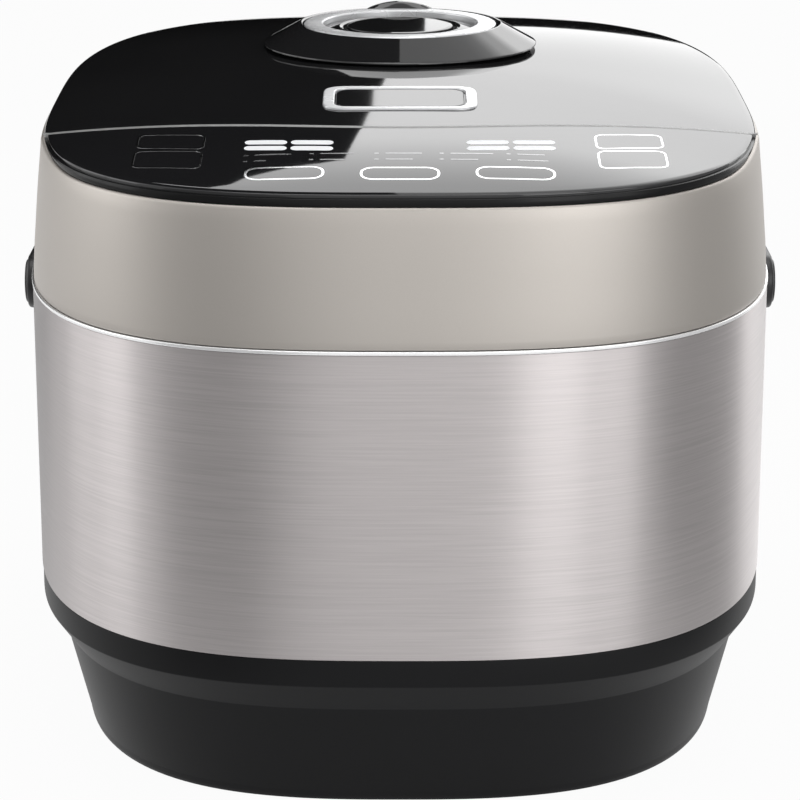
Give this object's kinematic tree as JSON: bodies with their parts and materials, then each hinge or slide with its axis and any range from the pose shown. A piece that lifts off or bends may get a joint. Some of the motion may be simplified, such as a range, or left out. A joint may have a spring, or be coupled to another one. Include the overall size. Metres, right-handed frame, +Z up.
{
  "type": "rice cooker",
  "caption": "Countertop induction rice cooker with a thick hinged lid, touch panel, lift-off steam vent cap, inner pot and a swinging carry handle.",
  "frame": {"origin": "on the table under the middle of the whole footprint, carry handle folded back", "axes": "+Z up, the front with the control panel faces -Y, +X to the right seen from the front"},
  "size_m": [0.277, 0.3458, 0.2407],
  "materials": {
    "rubber_black": "matt moulded rubber",
    "satin_black": "fine satin texture",
    "brushed_steel": "horizontal brushing",
    "bright_ring": "bright plated ring",
    "deck_black": "satin moulded plastic",
    "well_alu": "spun sheet",
    "cream_plastic": "heat-resistant plastic",
    "copper": "enamelled copper wire",
    "ferrite": "sintered ferrite",
    "spring_steel": "spring wire",
    "sensor_alu": "smooth",
    "board_green": "solder mask",
    "sink_alu": "extruded",
    "filter_yellow": "cast blocks",
    "zinc_steel": "zinc plated",
    "brass": "plated blades",
    "pot_coating": "dark speckled non-stick coating",
    "champagne_paint": "satin metallic paint",
    "glossy_black": "high gloss",
    "panel_glass": "black-backed glossy panel with printed key outlines",
    "trim_silver": "bright line",
    "lid_plastic": "light heat-resistant plastic",
    "display_white": "display block",
    "chrome": "bright plating",
    "silicone": "silicone rubber",
    "inner_steel": "pressed sheet",
    "handle_black": "satin moulded plastic"
  },
  "bodies": {
    "body": {"rubber_feet": "rubber_black", "base_tray": "satin_black", "base_screws": "zinc_steel", "outer_sleeve": "brushed_steel", "seam_ring": "bright_ring", "top_deck": "deck_black", "pot_well": "well_alu", "coil_bowl": "cream_plastic", "induction_coil": "copper", "side_coil": "copper", "ferrite_bars": "ferrite", "coil_frame": "cream_plastic", "sensor_guide": "cream_plastic", "sensor_spring": "spring_steel", "power_board": "board_green", "heat_sink": "sink_alu", "filter_parts": "filter_yellow", "fan_frame": "deck_black", "mains_inlet": "satin_black", "inlet_pins": "brass", "hinge_bracket": "zinc_steel", "hinge_pin": "zinc_steel", "hinge_springs": "spring_steel", "latch_catch": "zinc_steel", "handle_studs": "zinc_steel", "handle_bushes": "deck_black", "inner_pot": "pot_coating"},
    "lid": {"lid_band": "champagne_paint", "lid_top": "glossy_black", "panel_glass": "panel_glass", "panel_trim": "trim_silver", "front_rim": "glossy_black", "lid_frame": "lid_plastic", "lid_knuckles": "deck_black", "lid_screws": "zinc_steel", "control_board": "board_green", "display_modules": "display_white", "key_springs": "copper", "button_bezel": "chrome", "button_cup": "deck_black", "button_spring": "spring_steel", "latch_bracket": "zinc_steel", "latch_pin": "zinc_steel", "vent_skirt": "glossy_black", "vent_duct": "lid_plastic", "duct_seal": "silicone", "inner_lid": "inner_steel", "lid_gasket": "silicone", "lid_heater": "sink_alu", "lid_sensor": "sensor_alu"},
    "button": {"open_button": "glossy_black"},
    "latch": {"latch_hook": "lid_plastic"},
    "vent": {"vent_cap": "glossy_black", "vent_ring": "chrome", "cap_seal": "silicone"},
    "handle": {"handle": "handle_black", "handle_caps": "handle_black"},
    "fan": {"fan_rotor": "deck_black"},
    "sensor": {"sensor_plunger": "sensor_alu"}
  },
  "joints": [
    {"name": "lid_hinge", "type": "hinge", "parent": "body", "child": "lid", "pos_m": [0, 0.15038, 0.1672], "axis": [-1, 0, 0], "range_deg": [0, 85]},
    {"name": "button_press", "type": "slide", "parent": "lid", "child": "button", "axis": [0, 0, -1], "range_m": [0, 0.0035], "stiffness_N_per_m": 500, "springref_m": -0.003, "deforming": ["button_spring"]},
    {"name": "latch_turn", "type": "hinge", "parent": "lid", "child": "latch", "pos_m": [0, -0.13912, 0.188], "axis": [-1, 0, 0], "range_deg": [0, 3]},
    {"name": "vent_lift", "type": "slide", "parent": "lid", "child": "vent", "axis": [0, 0, 1], "range_m": [0, 0.03]},
    {"name": "handle_swing", "type": "hinge", "parent": "body", "child": "handle", "pos_m": [0, -0.01213, 0.147], "axis": [1, 0, 0], "range_deg": [0, 90]},
    {"name": "fan_spin", "type": "hinge", "parent": "body", "child": "fan", "pos_m": [-0.045, 0.04988, 0.014], "axis": [0, 0, 1], "continuous": true},
    {"name": "sensor_press", "type": "slide", "parent": "body", "child": "sensor", "axis": [0, 0, -1], "range_m": [0, 0.003], "stiffness_N_per_m": 400, "springref_m": -0.003, "deforming": ["sensor_spring"]}
  ],
  "couplings": [
    {"joint": "latch_turn", "follows": "button_press", "rad_per_m": 14.493}
  ]
}
